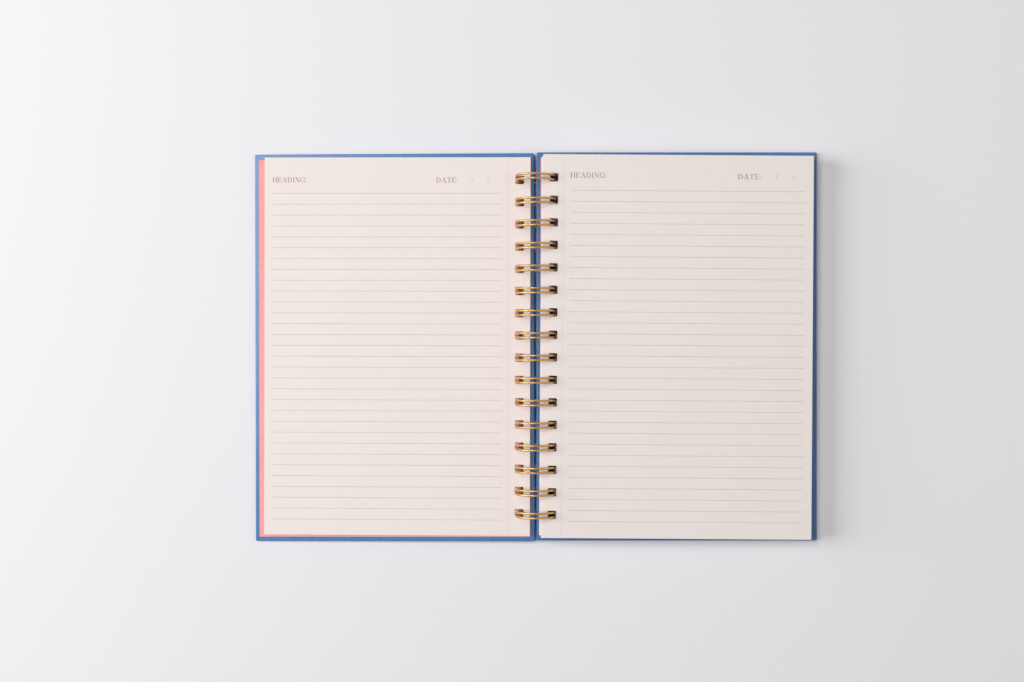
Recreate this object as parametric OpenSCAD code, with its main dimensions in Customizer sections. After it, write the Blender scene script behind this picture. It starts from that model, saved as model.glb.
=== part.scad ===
// Open wire-bound notebook, lying flat with its front cover turned to the left.
// Millimetres. The ring axis runs along Y over x = 0, and the table is z = 0.
// +Y is the head of the page. The origin is on the table under the middle of the rings.

/* [Leaves] */
// Width of a leaf, spine edge to fore edge
page_w = 152.5; // [100:0.5:220]
// Height of a leaf, head to foot
page_h = 216.4; // [150:0.1:300]
// Thickness of the leaves already turned to the left
turned_t = 1.4; // [0.4:0.1:2]
// Thickness of the leaves still on the right
block_t = 12; // [6:0.1:12.8]
// How much of the ring's curve the block's spine side follows
block_follow = 0.5; // [0:0.05:1]
// Turn of the turned leaves on the rings, clockwise seen from above, in degrees
turned_skew = 0.12; // [0:0.01:0.3]
// Turn of the block on the rings, clockwise seen from above, in degrees
block_skew = 0.4; // [0:0.01:0.5]
// Slip of the block along the rings, towards the head
block_slip = 0.3; // [0:0.05:0.4]
// How far the turned leaves hang outward from the middle of their play
turned_slack = 0; // [0:0.05:0.5]
// How far the block's leaves hang outward from the middle of their play
block_slack = 0.45; // [0:0.05:0.7]

/* [Covers] */
// How much wider a cover is than a leaf
cover_wider = 8; // [5:0.1:12]
// How far a cover stands past the leaves at the head and at the foot
cover_square = 3; // [2:0.1:8]
// Thickness of a wrapped board
board_t = 2.2; // [1.6:0.1:2.4]
// Radius of a cover's corners, seen from above
cover_corner = 0.9; // [0.4:0.1:4]
// Round of the wrap over the board's edges
wrap_round = 0.6; // [0.2:0.05:0.75]
// Gap between the two covers at the spine
cover_gap = 1.3; // [1:0.1:1.8]
// Turn of the front cover on the rings, counterclockwise seen from above, in degrees
front_skew = 0.13; // [0:0.01:0.15]
// Slip of the front cover along the rings, towards the foot
front_slip = 0.4; // [0:0.05:0.4]
// Slip of the back cover along the rings, towards the head
back_slip = 0.05; // [0:0.05:0.4]

/* [Endpapers] */
// Thickness of the coral endpaper
endpaper_t = 0.2; // [0.1:0.05:0.3]
// Rim of turned-in wrap at the fore edge and the spine
side_rim = 2.3; // [1:0.1:2.6]
// Rim at the back cover's fore edge, where its endpaper is cut narrower
back_fore_rim = 3.9; // [1:0.1:6]
// Rim of turned-in wrap at the head and the foot
end_rim = 2.9; // [1:0.1:6]
// How far each endpaper is pasted below the middle of its cover
paste_drop = 0.3; // [0:0.1:0.8]

/* [Punching] */
// Distance from hole to hole, two to the inch
pitch = 12.7; // [12.2:0.1:13]
// Least distance from the head or foot of a leaf to the middle of its end hole
end_margin = 10; // [7:0.5:12]
// Height of a hole, along the spine
hole_h = 4.9; // [4.8:0.1:6]
// Width of a hole in the leaves, across the spine
page_hole_w = 5; // [4.6:0.1:5.6]
// Strip of leaf between the spine edge and the holes
page_strip = 3.6; // [3.2:0.1:4]
// Strip of board between the spine edge and the holes
board_strip = 3.1; // [2.8:0.1:3.3]
// Radius of the corners of the holes in boards and turned leaves
hole_corner = 0.6; // [0.2:0.1:1.5]

/* [Wire] */
// Diameter of the wire
wire_d = 1.25; // [0.9:0.05:1.3]
// Outside diameter of a closed ring
ring_d = 23.4; // [23:0.1:24]
// Distance between the two strands of a loop, centre to centre
strand_gap = 2.5; // [2:0.1:2.6]
// Radius of the bend from a strand into the run between loops
root_bend = 0.9; // [0.7:0.05:1.2]
// Where on the ring the roots lie, in degrees from the right
root_angle = -70; // [-74:1:-68]
// Length of the cut end past the first and the last loop
cut_end = 1.5; // [0.5:0.1:4]
// How much thicker the wire is at its tight bends, where it was squeezed
bend_swell = 0.02; // [0.01:0.01:0.05]

/* [Fits] */
// Space between the boards and the rings that pass through them
ring_clear = 0.2; // [0.15:0.05:0.3]
// Space between a closed loop's tip and the two roots that it meets
tip_clear = 0.3; // [0.1:0.05:0.6]
// Air under each stack of leaves
leaf_air = 0.05; // [0.02:0.01:0.1]

/* [Hidden] */
$fn = 64;

BLUE = "#4F78B5";
CORAL = "#F0908C";
PAPER = "#EFE9E4";
GOLD = "#C9A04A";
// How far a cutter runs past the faces that it cuts
past = 1;
// Flats that the block's curved spine side is made of
flats = 6;
// Degrees by which a bend laps over the ends that it joins
lap = 2;

// The covers follow the leaves, and as many holes are punched as the leaf has room for
cover_w = page_w + cover_wider;
cover_h = page_h + 2 * cover_square;
holes = 1 + floor((page_h - 2 * end_margin) / pitch);

// The rings stand on the table
ring_r = (ring_d - wire_d) / 2;
axis_z = ring_d / 2;
ring_inside = ring_r - wire_d / 2 - ring_clear;
ring_outside = ring_r + wire_d / 2 + ring_clear;

// The spine strip of a board lies inside the rings, so its spine edge rides up on the wire
spine_x = cover_gap / 2;
hole_in = spine_x + board_strip;
lift = axis_z - sqrt(ring_inside * ring_inside - hole_in * hole_in);
cover_tilt = asin(lift / (spine_x + cover_w));
leaves_z = board_t + endpaper_t + leaf_air;

// The board's hole ends where the rings come out of the endpaper
hole_out = sqrt(pow(ring_outside, 2) - pow(axis_z - lift - board_t - endpaper_t, 2));

// The tip of a closed loop stops just short of its two roots, which bend away from it
root_y = strand_gap / 2 + root_bend;
tip_back = sqrt(pow(root_y + wire_d + tip_clear, 2) - root_y * root_y);
sweep = 360 - tip_back / ring_r * 180 / PI;

// Middle of hole and loop i along the spine
function hole_y(i) = (i - (holes - 1) / 2) * pitch;

// Half the ring's width at a height above a cover's underside
function chord(h) = sqrt(ring_r * ring_r - pow(lift + h - axis_z, 2));

// Spine edge of a leaf at that height, with the ring in the middle of its hole
function centred(h) = chord(h) - page_hole_w / 2 - page_strip;

// Spine edge of the block's leaves, which follow the ring as they rise
function block_edge(h) =
    centred(leaves_z) + block_slack + block_follow * (centred(h) - centred(leaves_z));

// Lays a flat right-hand piece on the slope of the back cover
module on_slope() {
    translate([0, 0, lift]) rotate([0, cover_tilt, 0]) children();
}

// Turns a stack on the rings, about the middle of its holes, and slips it along them
module on_rings(edge, turn, slip) {
    pivot = edge + page_strip + page_hole_w / 2;
    translate([pivot, slip, 0]) rotate([0, 0, turn]) translate([-pivot, 0, 0]) children();
}

// Puts a flat right-hand piece where the back cover lies
module back_side() {
    translate([0, back_slip, 0]) on_slope() children();
}

// Puts a flat right-hand piece where the front cover lies
module front_side() {
    translate([0, -front_slip, 0]) rotate([0, 0, front_skew])
        mirror([1, 0, 0]) on_slope() children();
}

// Rectangle with round corners, from x = 0 and centred on y = 0
module rounded_rect(w, h, r) {
    translate([r, -h / 2]) square([w - 2 * r, h]);
    translate([0, r - h / 2]) square([w, h - 2 * r]);
    for (x = [r, w - r], y = [r - h / 2, h / 2 - r]) translate([x, y]) circle(r);
}

// Holes of one sheet or board, from x0 to x1 across the spine, cut from z0 to z1
module punching(x0, x1, z0, z1) {
    for (i = [0 : holes - 1])
        translate([x0, hole_y(i), z0])
            linear_extrude(z1 - z0) rounded_rect(x1 - x0, hole_h, hole_corner);
}

// Board in its wrap: round corners, and round edges all the way about
module wrapped_board() {
    difference() {
        intersection() {
            translate([spine_x, 0, 0])
                linear_extrude(board_t) rounded_rect(cover_w, cover_h, cover_corner);
            translate([spine_x, 0, board_t / 2]) rotate([90, 0, 0])
                linear_extrude(cover_h + past, center = true)
                    rounded_rect(cover_w, board_t, wrap_round);
            translate([0, -cover_h / 2, board_t / 2]) rotate([90, 0, 90])
                linear_extrude(spine_x + cover_w + past)
                    rounded_rect(cover_h, board_t, wrap_round);
        }
        punching(hole_in, hole_out, -past, board_t + past);
    }
}

// Coral paper pasted over the board's inner face and the wrap's turned-in edges
module endpaper(fore_rim) {
    paper_w = cover_w - side_rim - fore_rim;
    paper_h = cover_h - 2 * end_rim;
    difference() {
        translate([spine_x + side_rim, -paper_h / 2 - paste_drop, board_t])
            cube([paper_w, paper_h, endpaper_t]);
        punching(hole_in, hole_out, board_t - past, board_t + endpaper_t + past);
    }
}

// Section of a stack whose leaves follow the ring, x0 to x1 measured from each leaf's spine edge
module leaning_section(x0, x1, z0, z1) {
    levels = [for (k = [0 : flats]) z0 + (z1 - z0) * k / flats];
    polygon(concat(
        [for (h = levels) [block_edge(h) + x0, h]],
        [for (k = [flats : -1 : 0]) [block_edge(levels[k]) + x1, levels[k]]]
    ));
}

// The wire's modules work on a ring centred on the origin, with its root at the right-hand side.
// One strand of a loop, from its root round to its tip.
module strand() {
    rotate([90, 0, 0]) rotate_extrude(angle = sweep) translate([ring_r, 0]) circle(d = wire_d);
}

// Tight bend about y = y0, in the plane that touches the ring at its right-hand side.
// It is a touch thicker than the wire and laps over the ends that it joins.
module bend(y0, r, start, turn) {
    translate([ring_r, y0, 0]) rotate([90, 0, 90]) rotate([0, 0, start - lap])
        rotate_extrude(angle = turn + 2 * lap) translate([r, 0]) circle(d = wire_d + bend_swell);
}

// Straight run of wire along the spine, between the roots of two loops
module run(y0, y1) {
    translate([ring_r, y0, -root_bend]) rotate([-90, 0, 0]) cylinder(d = wire_d, h = y1 - y0);
}

// One closed loop about y = 0: two strands, the tip that joins them and the two roots
module twin_loop() {
    for (side = [-1, 1]) translate([0, side * strand_gap / 2, 0]) strand();
    rotate([0, -sweep, 0]) bend(0, strand_gap / 2, 0, 180);
    bend(root_y, root_bend, 180, 90);
    bend(-root_y, root_bend, 270, 90);
}

// The whole comb, one wire from its first cut end to its last
module binding_wire() {
    color(GOLD) translate([0, 0, axis_z]) rotate([0, -root_angle, 0]) {
        for (i = [0 : holes - 1]) translate([0, hole_y(i), 0]) twin_loop();
        for (i = [1 : holes - 1]) run(hole_y(i - 1) + root_y, hole_y(i) - root_y);
        run(hole_y(0) - root_y - cut_end, hole_y(0) - root_y);
        run(hole_y(holes - 1) + root_y, hole_y(holes - 1) + root_y + cut_end);
    }
}

module front_cover() {
    color(BLUE) front_side() wrapped_board();
}

module front_endpaper() {
    color(CORAL) front_side() endpaper(side_rim);
}

module back_cover() {
    color(BLUE) back_side() wrapped_board();
}

module back_endpaper() {
    color(CORAL) back_side() endpaper(back_fore_rim);
}

// Few leaves, so their edges stand straight over each other
module turned_leaves() {
    edge = centred(leaves_z + turned_t / 2) + turned_slack;
    color(PAPER) mirror([1, 0, 0]) on_slope() on_rings(edge, turned_skew, 0) difference() {
        translate([edge, -page_h / 2, leaves_z]) cube([page_w, page_h, turned_t]);
        punching(edge + page_strip, edge + page_strip + page_hole_w,
                 leaves_z - past, leaves_z + turned_t + past);
    }
}

// Many leaves, shifted along the ring as they rise, and turned a little on the rings
module page_block() {
    top = leaves_z + block_t;
    edge = block_edge(leaves_z);
    color(PAPER) on_slope() on_rings(edge, -block_skew, block_slip) difference() {
        rotate([90, 0, 0]) linear_extrude(page_h, center = true)
            leaning_section(0, page_w, leaves_z, top);
        for (i = [0 : holes - 1])
            translate([0, hole_y(i), 0]) rotate([90, 0, 0])
                linear_extrude(hole_h, center = true)
                    leaning_section(page_strip, page_strip + page_hole_w,
                                    leaves_z - past, top + past);
    }
}

binding_wire();
front_cover();
front_endpaper();
turned_leaves();
back_cover();
back_endpaper();
page_block();
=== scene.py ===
"""Looks of the open wire-bound notebook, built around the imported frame.

Metres, Z up, +Y towards the head. Sizes are written in millimetres and turned to metres by MM.
A stack of leaves, a printed row and the wire are grown by Geometry Nodes; the wrapped boards and
the small headings are made in mesh code.
"""
import math

import bmesh
import bpy
from mathutils import Matrix, Vector


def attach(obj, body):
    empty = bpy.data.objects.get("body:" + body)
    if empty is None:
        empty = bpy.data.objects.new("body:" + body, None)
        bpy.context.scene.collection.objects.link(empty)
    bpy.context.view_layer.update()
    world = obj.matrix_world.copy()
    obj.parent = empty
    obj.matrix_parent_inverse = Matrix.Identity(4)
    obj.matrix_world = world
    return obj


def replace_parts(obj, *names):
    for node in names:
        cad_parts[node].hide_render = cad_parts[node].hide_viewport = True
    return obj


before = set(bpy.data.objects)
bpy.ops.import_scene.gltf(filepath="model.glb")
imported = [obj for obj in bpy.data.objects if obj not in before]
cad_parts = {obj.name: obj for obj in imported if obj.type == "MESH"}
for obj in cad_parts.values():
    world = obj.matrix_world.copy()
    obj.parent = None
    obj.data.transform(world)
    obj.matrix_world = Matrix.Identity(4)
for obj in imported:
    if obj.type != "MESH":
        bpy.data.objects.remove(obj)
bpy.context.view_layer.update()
scene = bpy.context.scene
MM = 0.001

# Leaves. LEAVES_Z is the height of both stacks over the undersides of the covers, and the block's
# leaves follow the curve of the rings by the share BLOCK_FOLLOW.
PAGE_W, PAGE_H = 152.5 * MM, 216.4 * MM
LEAVES_Z = 2.45 * MM
TURNED_T, BLOCK_T = 1.4 * MM, 12 * MM
BLOCK_FOLLOW = 0.5
TURNED_SKEW, BLOCK_SKEW = math.radians(0.12), math.radians(0.4)
BLOCK_SLIP = 0.3 * MM
BLOCK_SLACK = 0.45 * MM
# Covers and endpapers
COVER_W, COVER_H = 160.5 * MM, 222.4 * MM
BOARD_T, COVER_CORNER, WRAP_ROUND = 2.2 * MM, 0.9 * MM, 0.6 * MM
SPINE_X = 0.65 * MM
FRONT_SKEW = math.radians(0.13)
FRONT_SLIP, BACK_SLIP = 0.4 * MM, 0.05 * MM
PAPER_T, PASTE_DROP = 0.2 * MM, 0.3 * MM
SIDE_RIM, BACK_FORE_RIM, END_RIM = 2.3 * MM, 3.9 * MM, 2.9 * MM
# Punching
HOLES, PITCH = 16, 12.7 * MM
HOLE_H, HOLE_W, HOLE_CORNER = 4.9 * MM, 5 * MM, 0.6 * MM
PAGE_STRIP, BOARD_STRIP = 3.6 * MM, 3.1 * MM
# Wire
WIRE_D, RING_D, STRAND_GAP, ROOT_BEND = 1.25 * MM, 23.4 * MM, 2.5 * MM, 0.9 * MM
ROOT_ANGLE = math.radians(-70)
CUT_END, RING_CLEAR, TIP_CLEAR = 1.5 * MM, 0.2 * MM, 0.3 * MM

# What follows from these, as in the part's source
RING_R = (RING_D - WIRE_D) / 2
AXIS_Z = RING_D / 2
HOLE_IN = SPINE_X + BOARD_STRIP
LIFT = AXIS_Z - math.sqrt((RING_R - WIRE_D / 2 - RING_CLEAR) ** 2 - HOLE_IN**2)
TILT = math.asin(LIFT / (SPINE_X + COVER_W))
HOLE_OUT = math.sqrt(
    (RING_R + WIRE_D / 2 + RING_CLEAR) ** 2 - (AXIS_Z - LIFT - BOARD_T - PAPER_T) ** 2
)
ROOT_Y = STRAND_GAP / 2 + ROOT_BEND
TIP_BACK = math.sqrt((ROOT_Y + WIRE_D + TIP_CLEAR) ** 2 - ROOT_Y**2)
SWEEP = 2 * math.pi - TIP_BACK / RING_R


def centred(height):
    """Spine edge of a leaf whose holes are centred on the rings, at a height over the cover's
    underside."""
    chord = math.sqrt(RING_R**2 - (LIFT + height - AXIS_Z) ** 2)
    return chord - HOLE_W / 2 - PAGE_STRIP


TURNED_EDGE = centred(LEAVES_Z + TURNED_T / 2)
BLOCK_EDGE = centred(LEAVES_Z) + BLOCK_SLACK
BLOCK_TOP_EDGE = BLOCK_EDGE + BLOCK_FOLLOW * (centred(LEAVES_Z + BLOCK_T) - centred(LEAVES_Z))


def on_rings(edge, turn, slip):
    """Turns a stack on the rings, about the middle of its holes, and slips it along them."""
    pivot = edge + PAGE_STRIP + HOLE_W / 2
    turned = Matrix.Translation((pivot, slip, LEAVES_Z)) @ Matrix.Rotation(turn, 4, "Z")
    return SLOPE @ turned @ Matrix.Translation((-pivot, 0, 0))


# Places of flat right-hand pieces, from their own plane to the open book
MIRROR = Matrix.Scale(-1, 4, (1, 0, 0))
SLOPE = Matrix.Translation((0, 0, LIFT)) @ Matrix.Rotation(TILT, 4, "Y")
BACK = Matrix.Translation((0, BACK_SLIP, 0)) @ SLOPE
FRONT = (
    Matrix.Translation((0, -FRONT_SLIP, 0))
    @ Matrix.Rotation(FRONT_SKEW, 4, "Z")
    @ MIRROR
    @ SLOPE
)
TURNED = MIRROR @ on_rings(TURNED_EDGE, TURNED_SKEW, 0)
BLOCK = on_rings(BLOCK_EDGE, -BLOCK_SKEW, BLOCK_SLIP)

# Camera at the photograph's angle: almost straight down, a little left of the book's middle
CAMERA_PLACE = (-2.41 * MM, 3.16 * MM, 830.6 * MM)
CAMERA_TURN = math.radians(0.76)
SENSOR_MM, LENS_MM = 36, 50.73
camera = bpy.data.objects.new("camera", bpy.data.cameras.new("camera"))
scene.collection.objects.link(camera)
camera.location = CAMERA_PLACE
camera.rotation_euler = (0, CAMERA_TURN, 0)
camera.data.sensor_width = SENSOR_MM
camera.data.lens = LENS_MM
camera.data.clip_start = 0.01
scene.camera = camera
scene.view_settings.view_transform = "Standard"


def add(tree, kind, inputs=(), **settings):
    """Adds a node with its settings. An input takes a value, a socket, or a node's first output."""
    made = tree.nodes.new(kind)
    for key, value in settings.items():
        setattr(made, key, value)
    for key, value in dict(inputs).items():
        if isinstance(value, bpy.types.Node):
            value = value.outputs[0]
        if isinstance(value, bpy.types.NodeSocket):
            tree.links.new(value, made.inputs[key])
        else:
            made.inputs[key].default_value = value
    return made


def linear(hex_colour):
    """sRGB hex to the linear colour that the shaders take."""
    parts = [int(hex_colour[i : i + 2], 16) / 255 for i in (1, 3, 5)]
    return [*(c / 12.92 if c <= 0.04045 else ((c + 0.055) / 1.055) ** 2.4 for c in parts), 1]


def surface(name, hex_colour, roughness, ior=1.45, metallic=0.0):
    """A new material, its tree and its shader."""
    made = bpy.data.materials.new(name)
    made.use_nodes = True
    tree = made.node_tree
    shader = tree.nodes["Principled BSDF"]
    shader.inputs["Base Color"].default_value = linear(hex_colour)
    shader.inputs["Roughness"].default_value = roughness
    shader.inputs["Metallic"].default_value = metallic
    if not metallic:
        shader.inputs["IOR"].default_value = ior
    made.diffuse_color = linear(hex_colour)
    return made, tree, shader


def grain(tree, size, stretch=(1, 1, 1)):
    """Noise whose blobs are about size across, longer along an axis where stretch is below 1."""
    place = add(tree, "ShaderNodeTexCoord").outputs["Object"]
    place = add(tree, "ShaderNodeMapping", {"Vector": place, "Scale": stretch})
    inputs = {"Vector": place, "Scale": 1 / size, "Detail": 3.0, "Roughness": 0.6}
    return add(tree, "ShaderNodeTexNoise", inputs)


def tint(tree, shader, noise, dark, light):
    """Colour between two hexes, led by the middle range of a noise."""
    ramp = add(tree, "ShaderNodeValToRGB", {"Fac": noise})
    for element, position, colour in zip(ramp.color_ramp.elements, (0.3, 0.7), (dark, light)):
        element.position = position
        element.color = linear(colour)
    tree.links.new(ramp.outputs[0], shader.inputs["Base Color"])


def relief(tree, shader, noise, depth):
    """Bump of that depth from a noise."""
    bump = add(tree, "ShaderNodeBump", {"Height": noise, "Distance": depth, "Strength": 1.0})
    tree.links.new(bump.outputs[0], shader.inputs["Normal"])


# Uncoated writing paper: matt, with a cloudy formation a few millimetres wide and a fine tooth.
# The tooth is really about 0.1 mm, and is drawn at 0.35 mm so that it shows.
writing_paper, tree, shader = surface("uncoated_writing_paper", "#F5EBE7", 0.92)
tint(tree, shader, grain(tree, 4 * MM), "#F4EAE5", "#F6ECE8")
relief(tree, shader, grain(tree, 0.35 * MM), 0.02 * MM)

# Offset ink on that paper: thin, matt, and a little darker than the sheet
ruling_ink, tree, shader = surface("ruling_ink_offset", "#D5C4B7", 0.85)
tint(tree, shader, grain(tree, 1.5 * MM), "#D0BEB0", "#DACABE")
heading_ink, tree, shader = surface("heading_ink_offset", "#B08A6C", 0.85)
tint(tree, shader, grain(tree, 0.8 * MM), "#A98265", "#B89375")

# Perforating rule: the cut fibres of a torn-off line catch a little shade
perforation, tree, shader = surface("perforated_paper_edge", "#E4DAD4", 0.95)
tint(tree, shader, grain(tree, 1.0 * MM), "#E0D5CF", "#E8DED9")

# Coral endpaper: paper dyed through, matt, pasted down so that it is slightly cockled
coral_paper, tree, shader = surface("dyed_coral_endpaper", "#F7ABA7", 0.88)
tint(tree, shader, grain(tree, 3 * MM), "#F4A5A1", "#F9B0AC")
relief(tree, shader, grain(tree, 0.4 * MM), 0.02 * MM)

# Printed cover paper with a satin coating, drawn tight over the board.
# Its soft lighter and darker streaks along the spine, about 1 mm apart, are painted sheen.
blue_wrap, tree, shader = surface("satin_coated_blue_wrap", "#4A7AB3", 0.28, ior=1.5)
tint(tree, shader, grain(tree, 1.2 * MM, (1, 0.06, 1)), "#4373AC", "#5182BA")
relief(tree, shader, grain(tree, 0.3 * MM), 0.015 * MM)

# Greyboard: recycled fibre, seen only on the walls of the punched holes
greyboard, tree, shader = surface("punched_greyboard", "#7C756D", 0.95)
tint(tree, shader, grain(tree, 0.6 * MM, (1, 1, 4)), "#6A635B", "#8C857C")
relief(tree, shader, grain(tree, 0.3 * MM), 0.05 * MM)

# Drawn steel wire with a satin gold lacquer, faintly worn where it was formed.
# The lacquer's clear coat gives the cream sheen on the sides that face the light.
gold_wire, tree, shader = surface("gold_lacquered_steel_wire", "#D09B45", 0.36, metallic=1.0)
tint(tree, shader, grain(tree, 2 * MM), "#C79038", "#D8A652")
shader.inputs["Coat Weight"].default_value = 1.0
shader.inputs["Coat Roughness"].default_value = 0.3
shader.inputs["Coat IOR"].default_value = 1.8
relief(tree, shader, grain(tree, 0.5 * MM), 0.004 * MM)

# Pale painted table top
table_paint = surface("pale_table_paint", "#F1EFF2", 0.7)[0]

# Kinds of node that the trees below use often
MATH, VECTOR_MATH, COMBINE = "ShaderNodeMath", "ShaderNodeVectorMath", "ShaderNodeCombineXYZ"
SEPARATE, RANDOM = "ShaderNodeSeparateXYZ", "FunctionNodeRandomValue"
INDEX, POSITION = "GeometryNodeInputIndex", "GeometryNodeInputPosition"
RECTANGLE, MESH_LINE = "GeometryNodeCurvePrimitiveQuadrilateral", "GeometryNodeMeshLine"
INSTANCES, REALIZE = "GeometryNodeInstanceOnPoints", "GeometryNodeRealizeInstances"
JOIN, MERGE = "GeometryNodeJoinGeometry", "GeometryNodeMergeByDistance"
MOVE, ATTRIBUTE = "GeometryNodeSetPosition", "GeometryNodeInputNamedAttribute"


def new_tree(name, *sockets):
    """A Geometry Nodes tree with named inputs, each a name, a socket type and a default."""
    made = bpy.data.node_groups.new(name, "GeometryNodeTree")
    made.interface.new_socket("Geometry", in_out="INPUT", socket_type="NodeSocketGeometry")
    for label, kind, default in sockets:
        socket = made.interface.new_socket(
            label, in_out="INPUT", socket_type="NodeSocket" + kind
        )
        if default is not None:
            socket.default_value = default
    made.interface.new_socket("Geometry", in_out="OUTPUT", socket_type="NodeSocketGeometry")
    return made, add(made, "NodeGroupInput").outputs


def end_tree(made, geometry, material):
    """Ends a tree in Realize Instances and Set Material."""
    real = add(made, REALIZE, {0: geometry})
    last = add(made, "GeometryNodeSetMaterial", {"Geometry": real, "Material": material})
    add(made, "NodeGroupOutput", {0: last})
    return made


def spine_row(tree, count, pitch, column=0.0):
    """Points along the spine about y = 0, with the number of gaps and the length of the row."""
    gaps = add(tree, MATH, {0: count, 1: -1}, operation="ADD")
    length = add(tree, MATH, {0: gaps, 1: pitch}, operation="MULTIPLY")
    foot = add(tree, MATH, {0: length, 1: -0.5}, operation="MULTIPLY")
    first = add(tree, COMBINE, {"X": column, "Y": foot})
    step = add(tree, COMBINE, {"Y": pitch})
    row = add(tree, MESH_LINE, {"Count": count, "Start Location": first, "Offset": step})
    return row, gaps, length


def joined(tree, *parts):
    """One geometry of several."""
    both = add(tree, JOIN, {0: parts[0]})
    for part in parts[1:]:
        tree.links.new(part.outputs[0], both.inputs[0])
    return both


def punched_stack():
    """A stack of punched leaves. Each leaf is a filled outline with its holes, given its
    thickness, and the leaves follow the rings as they rise, with a small slip of their own."""
    tree, at = new_tree(
        "punched_stack",
        ("Width", "Float", PAGE_W),
        ("Height", "Float", PAGE_H),
        ("Leaf Thickness", "Float", 0.1 * MM),
        ("Leaves", "Int", 1),
        ("Stack Height", "Float", 0.1 * MM),
        ("Spine Edge", "Float", 0.0),
        ("Drop", "Float", 0.0),
        ("Hole Edge", "Float", PAGE_STRIP),
        ("Hole Width", "Float", HOLE_W),
        ("Hole Height", "Float", HOLE_H),
        ("Hole Corner", "Float", HOLE_CORNER),
        ("Holes", "Int", HOLES),
        ("Pitch", "Float", PITCH),
        ("Ring Radius", "Float", RING_R),
        ("Ring Above", "Float", AXIS_Z - LIFT - LEAVES_Z),
        ("Follow", "Float", 0.0),
        ("Slip", "Vector", (0, 0, 0)),
        ("Turn", "Float", 0.0),
        ("Seed", "Int", 1),
        ("Material", "Material", None),
    )
    half = add(tree, MATH, {0: at["Width"], 1: 0.5}, operation="MULTIPLY")
    dropped = add(tree, MATH, {0: at["Drop"], 1: -1}, operation="MULTIPLY")
    middle = add(tree, COMBINE, {"X": half, "Y": dropped})
    outline = add(tree, RECTANGLE, {"Width": at["Width"], "Height": at["Height"]})
    outline = add(tree, "GeometryNodeTransform", {"Geometry": outline, "Translation": middle})
    hole = add(tree, RECTANGLE, {"Width": at["Hole Width"], "Height": at["Hole Height"]})
    corner = {"Curve": hole, "Count": 2, "Radius": at["Hole Corner"]}
    hole = add(tree, "GeometryNodeFilletCurve", corner, mode="POLY")
    half = add(tree, MATH, {0: at["Hole Width"], 1: 0.5}, operation="MULTIPLY")
    column = add(tree, MATH, {0: at["Hole Edge"], 1: half}, operation="ADD")
    row = spine_row(tree, at["Holes"], at["Pitch"], column)[0]
    row = add(tree, INSTANCES, {"Points": row, "Instance": hole})
    row = add(tree, REALIZE, {0: row})
    sheet = joined(tree, outline, row)
    flat = add(tree, "GeometryNodeFillCurve", {"Curve": sheet}, mode="TRIANGLES")
    thick = {"Mesh": flat, "Offset Scale": at["Leaf Thickness"], "Individual": False}
    raised = add(tree, "GeometryNodeExtrudeMesh", thick, mode="FACES")
    under = add(tree, "GeometryNodeFlipFaces", {"Mesh": flat})
    leaf = add(tree, MERGE, {"Geometry": joined(tree, raised, under), "Distance": 0.001 * MM})
    # The points that carry the leaves, one over the other
    last = add(tree, MATH, {0: at["Leaves"], 1: -1}, operation="ADD")
    last = add(tree, MATH, {0: last, 1: 1}, operation="MAXIMUM")
    rise = add(tree, MATH, {0: at["Stack Height"], 1: at["Leaf Thickness"]}, operation="SUBTRACT")
    rise = add(tree, MATH, {0: rise, 1: last}, operation="DIVIDE")
    step = add(tree, COMBINE, {"Z": rise})
    pile = add(tree, MESH_LINE, {"Count": at["Leaves"], "Offset": step})
    # How far the ring's side lies from that of the lowest leaf, at each leaf's height
    height = add(tree, SEPARATE, {0: add(tree, POSITION)}).outputs["Z"]
    level = add(tree, MATH, {0: at["Ring Above"], 1: height}, operation="SUBTRACT")
    squared = add(tree, MATH, {0: at["Ring Radius"], 1: 2}, operation="POWER")
    chords = []
    for value in (level, at["Ring Above"]):
        side = add(tree, MATH, {0: value, 1: value}, operation="MULTIPLY")
        side = add(tree, MATH, {0: squared, 1: side}, operation="SUBTRACT")
        chords.append(add(tree, MATH, {0: side}, operation="SQRT"))
    shift = add(tree, MATH, {0: chords[0], 1: chords[1]}, operation="SUBTRACT")
    follow = {0: shift, 1: at["Follow"], 2: at["Spine Edge"]}
    shift = add(tree, COMBINE, {"X": add(tree, MATH, follow, operation="MULTIPLY_ADD")})
    # Every leaf but the top one slips and turns a little
    loose = add(tree, MATH, {0: add(tree, INDEX), 1: last}, operation="LESS_THAN")
    back = add(tree, VECTOR_MATH, {0: at["Slip"], "Scale": -1.0}, operation="SCALE")
    span = {"Min": back, "Max": at["Slip"], "Seed": at["Seed"]}
    slip = add(tree, RANDOM, span, data_type="FLOAT_VECTOR")
    slip = add(tree, VECTOR_MATH, {0: slip, "Scale": loose}, operation="SCALE")
    shift = add(tree, VECTOR_MATH, {0: shift, 1: slip}, operation="ADD")
    pile = add(tree, MOVE, {"Geometry": pile, "Offset": shift})
    turn_seed = add(tree, MATH, {0: at["Seed"], 1: 7}, operation="ADD")
    span = {"Min": (0, 0, -1), "Max": (0, 0, 1), "Seed": turn_seed}
    turn = add(tree, RANDOM, span, data_type="FLOAT_VECTOR")
    turn = add(tree, VECTOR_MATH, {0: turn, "Scale": at["Turn"]}, operation="SCALE")
    turn = add(tree, VECTOR_MATH, {0: turn, "Scale": loose}, operation="SCALE")
    pile = add(tree, INSTANCES, {"Points": pile, "Instance": leaf, "Rotation": turn})
    return end_tree(tree, pile, at["Material"])


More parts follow.
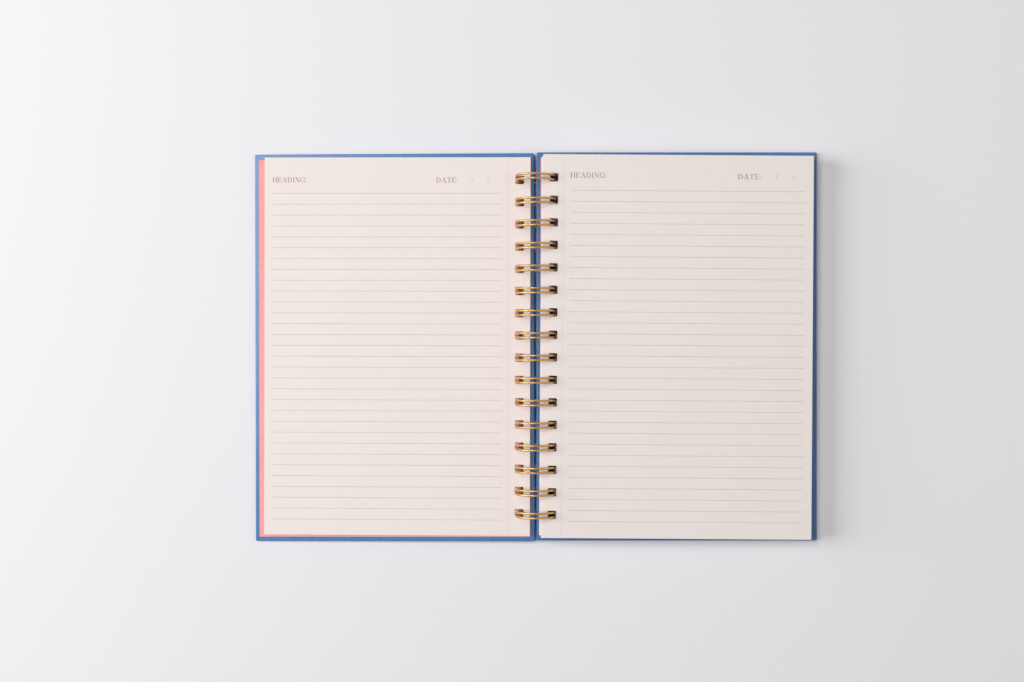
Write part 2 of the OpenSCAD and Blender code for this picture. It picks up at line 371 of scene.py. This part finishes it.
def rows_of_marks():
    """Rows of small flat marks, such as ruled lines or the dashes of a perforation, repeated on
    the other face of the stack."""
    tree, at = new_tree(
        "rows_of_marks",
        ("Mark Size", "Vector", (1, 1, 1)),
        ("Count", "Int", 1),
        ("First", "Vector", (0, 0, 0)),
        ("Step", "Vector", (0, 0, 0)),
        ("Faces", "Int", 2),
        ("To Other Face", "Vector", (0, 0, 0)),
        ("Material", "Material", None),
    )
    mark = add(tree, "GeometryNodeMeshCube", {"Size": at["Mark Size"]})
    line = {"Count": at["Count"], "Start Location": at["First"], "Offset": at["Step"]}
    row = add(tree, MESH_LINE, line)
    row = add(tree, INSTANCES, {"Points": row, "Instance": mark})
    faces = add(tree, MESH_LINE, {"Count": at["Faces"], "Offset": at["To Other Face"]})
    faces = add(tree, INSTANCES, {"Points": faces, "Instance": row})
    return end_tree(tree, faces, at["Material"])


def wire_comb():
    """The comb of wire. One loop's centreline is repeated along the spine, welded end to end,
    leant a little loop by loop, and given its round section."""
    tree, at = new_tree(
        "wire_comb",
        ("Loops", "Int", HOLES),
        ("Pitch", "Float", PITCH),
        ("Wire Diameter", "Float", WIRE_D),
        ("Sides", "Int", 12),
        ("Cut End", "Float", CUT_END),
        ("Lean At Foot", "Float", 0.0),
        ("Lean Per Loop", "Float", 0.0),
        ("Head Loop Lean", "Float", 0.0),
        ("Uneven", "Float", 0.0),
        ("Seed", "Int", 3),
        ("Material", "Material", None),
    )
    places, gaps, length = spine_row(tree, at["Loops"], at["Pitch"])
    index = add(tree, INDEX)
    even = {0: index, 1: at["Lean Per Loop"], 2: at["Lean At Foot"]}
    lean = add(tree, MATH, even, operation="MULTIPLY_ADD")
    less = add(tree, MATH, {0: at["Uneven"], 1: -1}, operation="MULTIPLY")
    span = {2: less, 3: at["Uneven"], "Seed": at["Seed"]}
    uneven = add(tree, RANDOM, span, data_type="FLOAT").outputs[1]
    lean = add(tree, MATH, {0: lean, 1: uneven}, operation="ADD")
    at_head = add(tree, MATH, {0: index, 1: gaps, 2: 0.5}, operation="COMPARE")
    extra = add(tree, MATH, {0: at_head, 1: at["Head Loop Lean"]}, operation="MULTIPLY")
    lean = add(tree, MATH, {0: lean, 1: extra}, operation="ADD")
    places = add(
        tree,
        "GeometryNodeStoreNamedAttribute",
        {"Geometry": places, "Name": "lean", "Value": lean},
        data_type="FLOAT",
        domain="POINT",
    )
    comb = add(tree, INSTANCES, {"Points": places, "Instance": at["Geometry"]})
    comb = add(tree, REALIZE, {0: comb})
    lean, share = (
        add(tree, ATTRIBUTE, {"Name": name}, data_type="FLOAT") for name in ("lean", "share")
    )
    lean = add(tree, MATH, {0: lean, 1: share}, operation="MULTIPLY")
    lean = add(tree, COMBINE, {"Y": lean})
    comb = add(tree, MOVE, {"Geometry": comb, "Offset": lean})
    # The outer ends are cut off a little past the end loops
    reach = add(tree, MATH, {0: length, 1: 0.5, 2: ROOT_Y}, operation="MULTIPLY_ADD")
    reach = add(tree, MATH, {0: reach, 1: at["Cut End"]}, operation="ADD")
    reach_back = add(tree, MATH, {0: reach, 1: -1}, operation="MULTIPLY")
    where = add(tree, SEPARATE, {0: add(tree, POSITION)}).outputs
    along = add(tree, MATH, {0: where["Y"], 1: reach}, operation="MINIMUM")
    along = add(tree, MATH, {0: along, 1: reach_back}, operation="MAXIMUM")
    kept = add(tree, COMBINE, {"X": where["X"], "Y": along, "Z": where["Z"]})
    comb = add(tree, MOVE, {"Geometry": comb, "Position": kept})
    comb = add(tree, MERGE, {"Geometry": comb, "Distance": 0.01 * MM})
    comb = add(tree, "GeometryNodeMeshToCurve", {"Mesh": comb})
    radius = add(tree, MATH, {0: at["Wire Diameter"], 1: 0.5}, operation="MULTIPLY")
    circle = {"Resolution": at["Sides"], "Radius": radius}
    section = add(tree, "GeometryNodeCurvePrimitiveCircle", circle, mode="RADIUS")
    swept = {"Curve": comb, "Profile Curve": section, "Fill Caps": True}
    comb = add(tree, "GeometryNodeCurveToMesh", swept)
    comb = add(tree, "GeometryNodeSetShadeSmooth", {"Geometry": comb, "Shade Smooth": True})
    return end_tree(tree, comb, at["Material"])


def loop_centreline():
    """One loop of the comb as a line mesh about y = 0, from mid run to mid run.
    The share of lean is 0 at the roots and 1 at the crown."""
    points = []
    ring_steps, root_steps, tip_steps = 56, 5, 10

    def point(angle, y, rise=0.0):
        """Point on the ring at an angle, or at a rise from there along the ring's tangent."""
        cos, sin = math.cos(angle), math.sin(angle)
        x, z = RING_R * cos - rise * sin, RING_R * sin + rise * cos
        points.append((x, y, z, (1 - cos) / 2))

    def bend(middle, radius, start, end, steps, angle=0.0):
        """Arc in the plane that touches the ring at an angle, without its two ends."""
        for k in range(1, steps):
            a = start + (end - start) * k / steps
            point(angle, middle + radius * math.cos(a), radius * math.sin(a))

    half_gap = STRAND_GAP / 2
    angles = [SWEEP * k / ring_steps for k in range(ring_steps + 1)]
    point(0, -PITCH / 2, -ROOT_BEND)
    point(0, -ROOT_Y, -ROOT_BEND)
    bend(-ROOT_Y, ROOT_BEND, -math.pi / 2, 0, root_steps)
    for angle in angles:
        point(angle, -half_gap)
    bend(0, half_gap, math.pi, 0, tip_steps, SWEEP)
    for angle in reversed(angles):
        point(angle, half_gap)
    bend(ROOT_Y, ROOT_BEND, math.pi, 1.5 * math.pi, root_steps)
    point(0, ROOT_Y, -ROOT_BEND)
    point(0, PITCH / 2, -ROOT_BEND)
    mesh = bpy.data.meshes.new("loop_centreline")
    mesh.from_pydata([p[:3] for p in points], [(k, k + 1) for k in range(len(points) - 1)], [])
    share = mesh.attributes.new("share", "FLOAT", "POINT")
    share.data.foreach_set("value", [p[3] for p in points])
    return mesh


def outward(mesh):
    """Turns the faces of a closed mesh outward."""
    work = bmesh.new()
    work.from_mesh(mesh)
    if work.calc_volume(signed=True) < 0:
        bmesh.ops.reverse_faces(work, faces=work.faces)
        work.to_mesh(mesh)
    work.free()


def settle(piece, place, body):
    """Puts the place into the mesh, turns its faces outward and lets the piece ride on its body."""
    piece.data.transform(place)
    outward(piece.data)
    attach(piece, body)
    return piece


def grow(name, tree, place, body, slot, source=None, **values):
    """Runs a tree, keeps the plain mesh, lays it in its place and lets it ride on a body."""
    piece = bpy.data.objects.new(name, source or bpy.data.meshes.new(name))
    scene.collection.objects.link(piece)
    modifier = piece.modifiers.new("grow", "NODES")
    modifier.node_group = tree
    for item in tree.interface.items_tree:
        key = item.name.replace(" ", "_").lower()
        if item.in_out == "INPUT" and key in values:
            modifier[item.identifier] = values.pop(key)
    if values:
        raise ValueError(f"{name}: the tree has no input {sorted(values)}")
    bpy.context.view_layer.update()
    graph = bpy.context.evaluated_depsgraph_get()
    mesh = bpy.data.meshes.new_from_object(piece.evaluated_get(graph), depsgraph=graph)
    piece.modifiers.clear()
    piece.data = mesh
    mesh.name = name
    return settle(piece, place, body)


def piece_of(work, name, *materials):
    """Object with the mesh of a finished bmesh."""
    mesh = bpy.data.meshes.new(name)
    work.to_mesh(mesh)
    work.free()
    for material in materials:
        mesh.materials.append(material)
    piece = bpy.data.objects.new(name, mesh)
    scene.collection.objects.link(piece)
    return piece


def rounded(w, h, r, steps):
    """Outline of a rounded rectangle from x = 0, centred on y = 0, anticlockwise."""
    out = []
    for cx, cy, start in (
        (w - r, h / 2 - r, 0),
        (r, h / 2 - r, 90),
        (r, r - h / 2, 180),
        (w - r, r - h / 2, 270),
    ):
        for k in range(steps + 1):
            a = math.radians(start + 90 * k / steps)
            out.append((cx + r * math.cos(a), cy + r * math.sin(a)))
    return out


def ring_edges(work, ring):
    """Edges of a closed ring of vertices."""
    return [work.edges.get(pair) for pair in zip(ring, ring[1:] + ring[:1])]


def bridge(work, low, high, material=0):
    """Quads between two rings of vertices."""
    for k in range(len(low)):
        n = (k + 1) % len(low)
        work.faces.new((low[k], low[n], high[n], high[k])).material_index = material


def slab(work, corners, bottom, top):
    """Closed flat box between two heights."""
    low, high = ([work.verts.new((*corner, z)) for corner in corners] for z in (bottom, top))
    bridge(work, low, high)
    work.faces.new(high)
    work.faces.new(low[::-1])


# Turn-ins of the wrap: how far they stay inside the board's edge and short of the endpaper's,
# their thickness over the board and under its face, and how much the end ones lie lower
TURN_IN_INSET, TURN_IN_SHORT = 0.45 * MM, 0.5 * MM
TURN_IN_OVER, TURN_IN_UNDER, TURN_IN_SINK = 0.12 * MM, 0.1 * MM, 0.05 * MM
FLAT_FACE, SHARP_ANGLE = 0.999, math.radians(40)


def wrapped_board(name, place, body, node, fore_rim):
    """Board in its wrap: round outer edges, mitred turn-ins on the rim, bare walls in the holes."""
    work = bmesh.new()
    round_steps, corner_steps, hole_steps = 5, 6, 4
    section = [
        (WRAP_ROUND * (1 - math.sin(a)), WRAP_ROUND * (1 - math.cos(a)))
        for a in (math.pi / 2 * k / round_steps for k in range(round_steps + 1))
    ]
    section += [(inset, BOARD_T - z) for inset, z in reversed(section)]
    rings = []
    for inset, z in section:
        size = COVER_W - 2 * inset, COVER_H - 2 * inset, COVER_CORNER - inset / 2
        line = rounded(*size, corner_steps)
        rings.append([work.verts.new((SPINE_X + inset + x, y, z)) for x, y in line])
    for low, high in zip(rings, rings[1:]):
        bridge(work, low, high)
    low_edges = ring_edges(work, rings[0])
    high_edges = ring_edges(work, rings[-1])
    for i in range(HOLES):
        y0 = (i - (HOLES - 1) / 2) * PITCH
        line = rounded(HOLE_OUT - HOLE_IN, HOLE_H, HOLE_CORNER, hole_steps)
        low = [work.verts.new((HOLE_IN + x, y0 + y, 0)) for x, y in line]
        high = [work.verts.new((HOLE_IN + x, y0 + y, BOARD_T)) for x, y in line]
        bridge(work, high, low, 1)
        low_edges += ring_edges(work, low)
        high_edges += ring_edges(work, high)
    for edges in (low_edges, high_edges):
        bmesh.ops.triangle_fill(work, use_beauty=True, use_dissolve=False, edges=edges)
    bmesh.ops.recalc_face_normals(work, faces=work.faces)
    for face in work.faces:
        face.smooth = face.material_index == 0 and abs(face.normal.z) < FLAT_FACE
    # The turn-ins at the head and the foot lie under those of the sides, which end in mitres
    x0, x1 = SPINE_X + TURN_IN_INSET, SPINE_X + COVER_W - TURN_IN_INSET
    y1 = COVER_H / 2 - TURN_IN_INSET
    fore, side, end = (rim - TURN_IN_SHORT for rim in (fore_rim, SIDE_RIM, END_RIM - PASTE_DROP))
    for sink, *corners in (
        (0, (x1, -y1), (x1, y1), (x1 - fore, y1 - fore), (x1 - fore, fore - y1)),
        (0, (x0, y1), (x0, -y1), (x0 + side, side - y1), (x0 + side, y1 - side)),
        (TURN_IN_SINK, (x1, y1), (x0, y1), (x0 + end, y1 - end), (x1 - end, y1 - end)),
        (TURN_IN_SINK, (x0, -y1), (x1, -y1), (x1 - end, end - y1), (x0 + end, end - y1)),
    ):
        slab(work, corners, BOARD_T - TURN_IN_UNDER, BOARD_T + TURN_IN_OVER - sink)
    piece = piece_of(work, name, blue_wrap, greyboard)
    piece.data.set_sharp_from_angle(angle=SHARP_ANGLE)
    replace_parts(settle(piece, place, body), node)


# The few letters of the headings, each its advance and its strokes, drawn on a cap height of
# CAP_UNITS: thick stems, thin bars and serifs. A stroke is x0, y0, x1, y1 and its width.
CAP_UNITS, LETTER_GAP = 7, 0.9
STEM, HAIR = 1.15, 0.4
TICK = 0.45


def bar(x0, x1, y):
    """Thin level stroke."""
    return (x0, y, x1, y, HAIR)


def stem(x):
    """Upright with its serifs."""
    return [(x, 0, x, CAP_UNITS, STEM), bar(x - 1.1, x + 1.1, 0.2), bar(x - 1.1, x + 1.1, 6.8)]


def bow(cx, rx, ry, start, end, steps=14):
    """Round stroke about mid height, widest at its sides and fine at its top and foot."""
    out = []
    for k in range(steps):
        a, b = (math.radians(start + (end - start) * (k + j) / steps) for j in (0, 1))
        width = HAIR + (STEM - HAIR) * abs(math.cos((a + b) / 2)) ** 1.5
        ends = [(cx + rx * math.cos(t), CAP_UNITS / 2 + ry * math.sin(t)) for t in (a, b)]
        out.append((*ends[0], *ends[1], width))
    return out


LETTERS = {
    "H": (6.8, [*stem(1.2), *stem(5.6), bar(1.2, 5.6, 3.6)]),
    "E": (
        6.0,
        [*stem(1.2), bar(1.2, 5.2, 6.8), bar(1.2, 5.3, 0.2), bar(1.2, 3.9, 3.6)]
        + [(5.1, 5.3, 5.2, 7, 0.5), (5.3, 0, 5.4, 1.8, 0.5), (3.9, 2.9, 3.9, 4.3, TICK)],
    ),
    "A": (
        6.8,
        [(0.9, 0, 3.3, 7, HAIR), (3.1, 7, 5.7, 0, STEM)]
        + [bar(1.7, 4.9, 2.3), bar(0, 1.9, 0.2), bar(4.5, 6.7, 0.2)],
    ),
    "D": (
        6.8,
        [*stem(1.2), *bow(2.2, 3.6, 3.3, 90, -90), bar(1.2, 2.2, 6.8), bar(1.2, 2.2, 0.2)],
    ),
    "I": (2.7, stem(1.2)),
    "N": (
        6.9,
        [(1.2, 0, 1.2, 7, HAIR), (5.8, 0, 5.8, 7, HAIR), (1.2, 7, 5.6, 0, STEM)]
        + [bar(0.1, 2.3, 0.2), bar(0.1, 1.6, 6.8), bar(4.8, 6.8, 6.8)],
    ),
    "G": (
        7.0,
        [*bow(3.7, 3.3, 3.3, 40, 325), (5.8, 0.4, 5.8, 3.2, STEM), bar(4.6, 6.8, 3.2)]
        + [(6.1, 4.9, 6.1, 7, TICK)],
    ),
    "T": (
        6.0,
        [*stem(3.0)[:2], bar(0.3, 5.7, 6.8), (0.4, 5.2, 0.4, 7, TICK), (5.6, 5.2, 5.6, 7, TICK)],
    ),
    ":": (2.0, [(1, 0.1, 1, 1.1, 1.0), (1, 3.9, 1, 4.9, 1.0)]),
    "/": (3.0, [(0, 0, 2.4, 7, HAIR)]),
}
CAP = 2.9 * MM
# How far a stroke runs on past its ends, and its print's depth in the leaf and rise over it
STROKE_OVER = 0.06
HEADING_IN, HEADING_OUT = 0.02 * MM, 0.012 * MM


def printed(name, place, body, top, words, outward_x):
    """Small printed words on the top of a stack. Each is its text, its start and baseline on the
    leaf, and its width."""
    work = bmesh.new()
    for text, x0, y0, width in words:
        natural = sum(LETTERS[c][0] + LETTER_GAP for c in text) - LETTER_GAP
        sx, sy, pen = width / natural, CAP / CAP_UNITS, 0.0
        for c in text:
            advance, strokes = LETTERS[c]
            for ax, ay, bx, by, wide in strokes:
                a = Vector(((pen + ax) * sx, ay * sy))
                b = Vector(((pen + bx) * sx, by * sy))
                d = (b - a).normalized() * STROKE_OVER * sy
                n = Vector((-(b - a).y, (b - a).x)).normalized() * wide * min(sx, sy) / 2
                corners = [
                    (x0 + outward_x * p.x, y0 + p.y)
                    for p in (a - d - n, b + d - n, b + d + n, a - d + n)
                ]
                slab(work, corners, top - HEADING_IN, top + HEADING_OUT)
            pen += advance + LETTER_GAP
    bmesh.ops.recalc_face_normals(work, faces=work.faces)
    settle(piece_of(work, name, heading_ink), place, body)


stack_tree, marks_tree, wire_tree = punched_stack(), rows_of_marks(), wire_comb()

# The loops lean along the spine as in the photograph, but less, so that the strands stay clear of
# most holes
wire = grow(
    "wire_comb",
    wire_tree,
    Matrix.Translation((0, 0, AXIS_Z)) @ Matrix.Rotation(-ROOT_ANGLE, 4, "Y"),
    "binding",
    "gold_wire",
    loop_centreline(),
    lean_at_foot=0.35 * MM,
    lean_per_loop=-0.05 * MM,
    head_loop_lean=0.95 * MM,
    uneven=0.05 * MM,
    material=gold_wire,
)
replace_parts(wire, "binding_wire")

for side, place, body, fore_rim in (
    ("front", FRONT, "front", SIDE_RIM),
    ("back", BACK, "back", BACK_FORE_RIM),
):
    wrapped_board(side + "_wrapped_board", place, body, side + "_cover", fore_rim)
    endpaper = grow(
        side + "_coral_endpaper",
        stack_tree,
        place @ Matrix.Translation((SPINE_X + SIDE_RIM, 0, BOARD_T)),
        body,
        "coral_paper",
        width=COVER_W - SIDE_RIM - fore_rim,
        height=COVER_H - 2 * END_RIM,
        leaf_thickness=PAPER_T,
        stack_height=PAPER_T,
        drop=PASTE_DROP,
        hole_edge=HOLE_IN - SPINE_X - SIDE_RIM,
        hole_width=HOLE_OUT - HOLE_IN,
        material=coral_paper,
    )
    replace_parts(endpaper, side + "_endpaper")

LEAF_TURN = math.radians(0.03)
turned = grow(
    "turned_leaves_stack",
    stack_tree,
    TURNED,
    "turned",
    "leaf_paper",
    leaves=12,
    leaf_thickness=0.105 * MM,
    stack_height=TURNED_T,
    spine_edge=TURNED_EDGE,
    slip=(0.15 * MM, 0.12 * MM, 0),
    turn=LEAF_TURN,
    material=writing_paper,
)
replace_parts(turned, "turned_leaves")
block = grow(
    "page_block_stack",
    stack_tree,
    BLOCK,
    "block",
    "leaf_paper",
    leaves=108,
    leaf_thickness=0.1 * MM,
    stack_height=BLOCK_T,
    spine_edge=BLOCK_EDGE,
    follow=BLOCK_FOLLOW,
    slip=(0.14 * MM, 0.12 * MM, 0),
    turn=LEAF_TURN,
    seed=5,
    material=writing_paper,
)
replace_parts(block, "page_block")

# Print on the leaves that face out, at the places measured on each page. A row ends in the two
# ends of the ruled lines, the height of the first one, and the place of the perforation, in mm.
INK_T = 0.03 * MM
RULES, RULE_W, RULE_STEP = 31, 0.28 * MM, 6.229 * MM
DASHES, DASH_W, DASH_L, DASH_STEP, DASH_FOOT = 216, 0.25 * MM, 0.8 * MM, 1.0 * MM, -107.5 * MM
for name, place, body, edge, low_edge, top, lines, first, score in (
    ("turned", TURNED, "turned", TURNED_EDGE, TURNED_EDGE, TURNED_T, (16.26, 148.25), 87.6, 12.4),
    ("block", BLOCK, "block", BLOCK_TOP_EDGE, BLOCK_EDGE, BLOCK_T, (15.6, 147.8), 88.0, 11.5),
):
    other = (low_edge - edge, 0, -top)
    grow(
        name + "_ruling",
        marks_tree,
        place,
        body,
        None,
        mark_size=((lines[1] - lines[0]) * MM, RULE_W, INK_T),
        count=RULES,
        first=(edge + sum(lines) / 2 * MM, first * MM, top),
        step=(0, -RULE_STEP, 0),
        to_other_face=other,
        material=ruling_ink,
    )
    grow(
        name + "_perforation",
        marks_tree,
        place,
        body,
        None,
        mark_size=(DASH_W, DASH_L, INK_T),
        count=DASHES,
        first=(edge + score * MM, DASH_FOOT, top),
        step=(0, DASH_STEP, 0),
        to_other_face=other,
        material=perforation,
    )
# The headings' words start at their left end in the photograph, so on the mirrored left-hand
# page they run towards the spine
printed(
    "turned_headings",
    TURNED,
    "turned",
    TURNED_T,
    [
        ("HEADING:", TURNED_EDGE + 148.0 * MM, 93.95 * MM, 19.8 * MM),
        ("DATE:", TURNED_EDGE + 53.9 * MM, 93.75 * MM, 12.6 * MM),
        ("/", TURNED_EDGE + 33.6 * MM, 93.75 * MM, 1.1 * MM),
        ("/", TURNED_EDGE + 24.7 * MM, 93.75 * MM, 1.1 * MM),
    ],
    -1,
)
printed(
    "block_headings",
    BLOCK,
    "block",
    BLOCK_T,
    [
        ("HEADING:", BLOCK_TOP_EDGE + 15.4 * MM, 95.1 * MM, 20.4 * MM),
        ("DATE:", BLOCK_TOP_EDGE + 109.8 * MM, 94.85 * MM, 13.4 * MM),
        ("/", BLOCK_TOP_EDGE + 131.3 * MM, 94.85 * MM, 1.1 * MM),
        ("/", BLOCK_TOP_EDGE + 140.9 * MM, 94.85 * MM, 1.1 * MM),
    ],
    1,
)

# Table top, a hair below the book
TABLE_REACH, TABLE_DROP = 1.6, 0.02 * MM
floor_mesh = bpy.data.meshes.new("table_top")
square = ((-1, -1), (1, -1), (1, 1), (-1, 1))
floor_mesh.from_pydata(
    [(x * TABLE_REACH, y * TABLE_REACH, 0) for x, y in square], [], [(0, 1, 2, 3)]
)
floor_mesh.materials.append(table_paint)
floor_mesh.transform(Matrix.Translation((0, 0, -TABLE_DROP)))
floor = bpy.data.objects.new("table_top", floor_mesh)
scene.collection.objects.link(floor)

# Three softboxes on the left and a wide reflector on the right, all white and aimed straight
# across at the spine: name, place, size along the spine, size across it, watts
for name, spot, along, across, watts in (
    ("softbox_left", (-1.82, 0.14, 1.33), 0.98, 0.98, 26.8),
    ("softbox_low_left", (-2.2, 0.14, 0.58), 1.1, 0.5, 12.5),
    ("softbox_high_left", (-0.7, 0.4, 1.9), 1.1, 0.45, 14.6),
    ("reflector_right", (1.2, 0.0, 1.2), 1.6, 1.6, 7.3),
):
    light = bpy.data.lights.new(name, "AREA")
    light.shape = "RECTANGLE"
    light.size, light.size_y = along, across
    light.energy = watts
    lamp = bpy.data.objects.new(name, light)
    scene.collection.objects.link(lamp)
    lamp.location = spot
    lamp.rotation_euler = Vector((-spot[0], 0, -spot[2])).to_track_quat("-Z", "Y").to_euler()

# The world lights the book faintly. Seen by the camera, or mirrored, it is a pale backdrop.
FAINT, PALE = 0.1, 0.42
world = scene.world or bpy.data.worlds.new("world")
scene.world = world
world.use_nodes = True
sky = world.node_tree.nodes["Background"]
sky.inputs["Color"].default_value = linear("#FFFFFF")
ray = add(world.node_tree, "ShaderNodeLightPath").outputs
seen = ray["Is Camera Ray"]
for kind in ("Is Glossy Ray", "Is Transmission Ray"):
    seen = add(world.node_tree, MATH, {0: seen, 1: ray[kind]}, operation="MAXIMUM")
level = {0: seen, 1: PALE - FAINT, 2: FAINT}
level = add(world.node_tree, MATH, level, operation="MULTIPLY_ADD")
world.node_tree.links.new(level.outputs[0], sky.inputs["Strength"])
